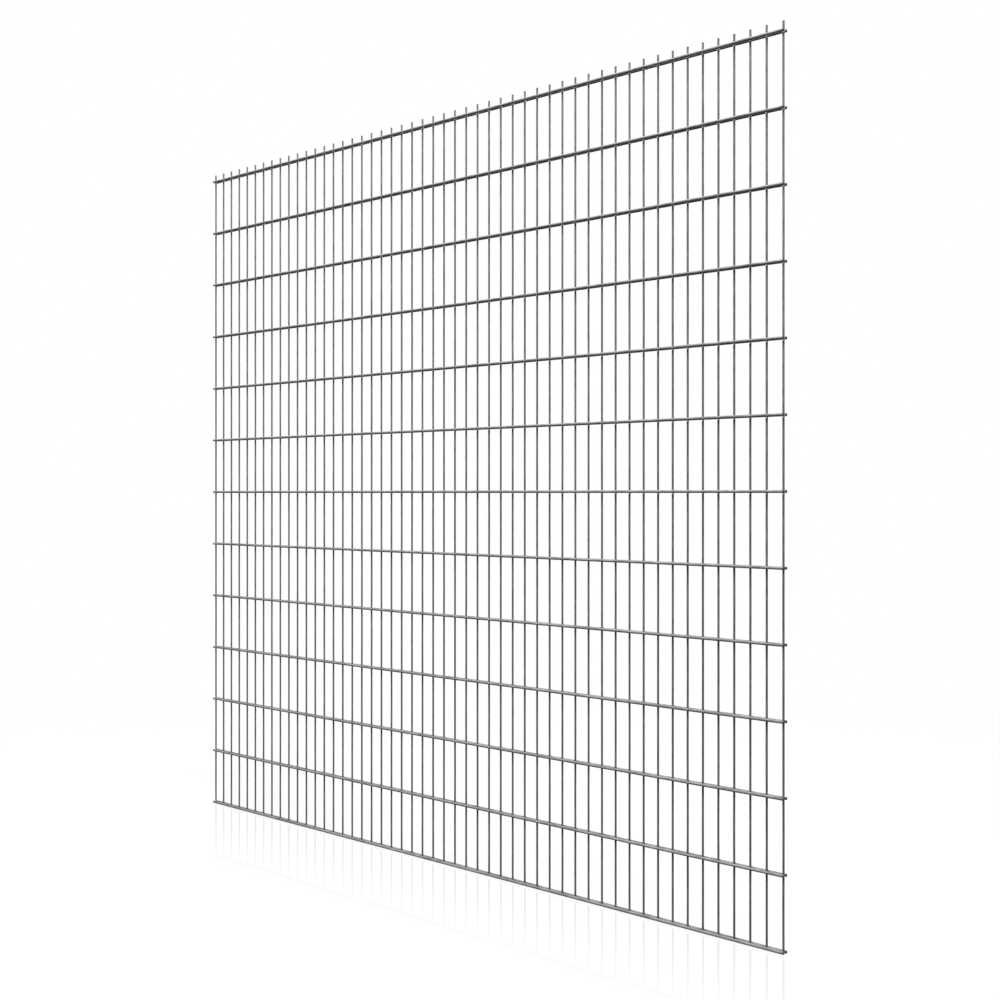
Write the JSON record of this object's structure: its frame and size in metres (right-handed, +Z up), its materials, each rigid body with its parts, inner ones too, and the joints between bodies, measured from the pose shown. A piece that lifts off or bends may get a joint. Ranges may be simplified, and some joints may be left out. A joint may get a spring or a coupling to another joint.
{
  "type": "welded mesh fence panel",
  "caption": "Rigid welded double-wire mesh fence panel in galvanised steel, with paired horizontal bars clasping upright wires that end in short spikes.",
  "frame": {"origin": "centre of the lower cut end of the middle upright, in the plane of the uprights, level with the underside of the lowest bars", "axes": "+X along the panel to the right as seen from the front, +Y from the front bars to the rear bars, +Z up to the spikes"},
  "size_m": [2.51, 0.022, 2.43],
  "materials": {
    "bars": "galvanised zinc, satin, dull grey",
    "uprights": "galvanised zinc, satin, dull grey"
  },
  "bodies": {
    "root": {"front_bar_01": "bars", "front_bar_02": "bars", "front_bar_03": "bars", "front_bar_04": "bars", "front_bar_05": "bars", "front_bar_06": "bars", "front_bar_07": "bars", "front_bar_08": "bars", "front_bar_09": "bars", "front_bar_10": "bars", "front_bar_11": "bars", "front_bar_12": "bars", "front_bar_13": "bars", "rear_bar_01": "bars", "rear_bar_02": "bars", "rear_bar_03": "bars", "rear_bar_04": "bars", "rear_bar_05": "bars", "rear_bar_06": "bars", "rear_bar_07": "bars", "rear_bar_08": "bars", "rear_bar_09": "bars", "rear_bar_10": "bars", "rear_bar_11": "bars", "rear_bar_12": "bars", "rear_bar_13": "bars", "inner_uprights_1": "uprights", "inner_uprights_2": "uprights", "inner_uprights_3": "uprights", "inner_uprights_4": "uprights", "inner_uprights_5": "uprights", "inner_uprights_6": "uprights", "inner_uprights_7": "uprights", "left_end_upright": "uprights", "right_end_upright": "uprights"}
  },
  "joints": []
}
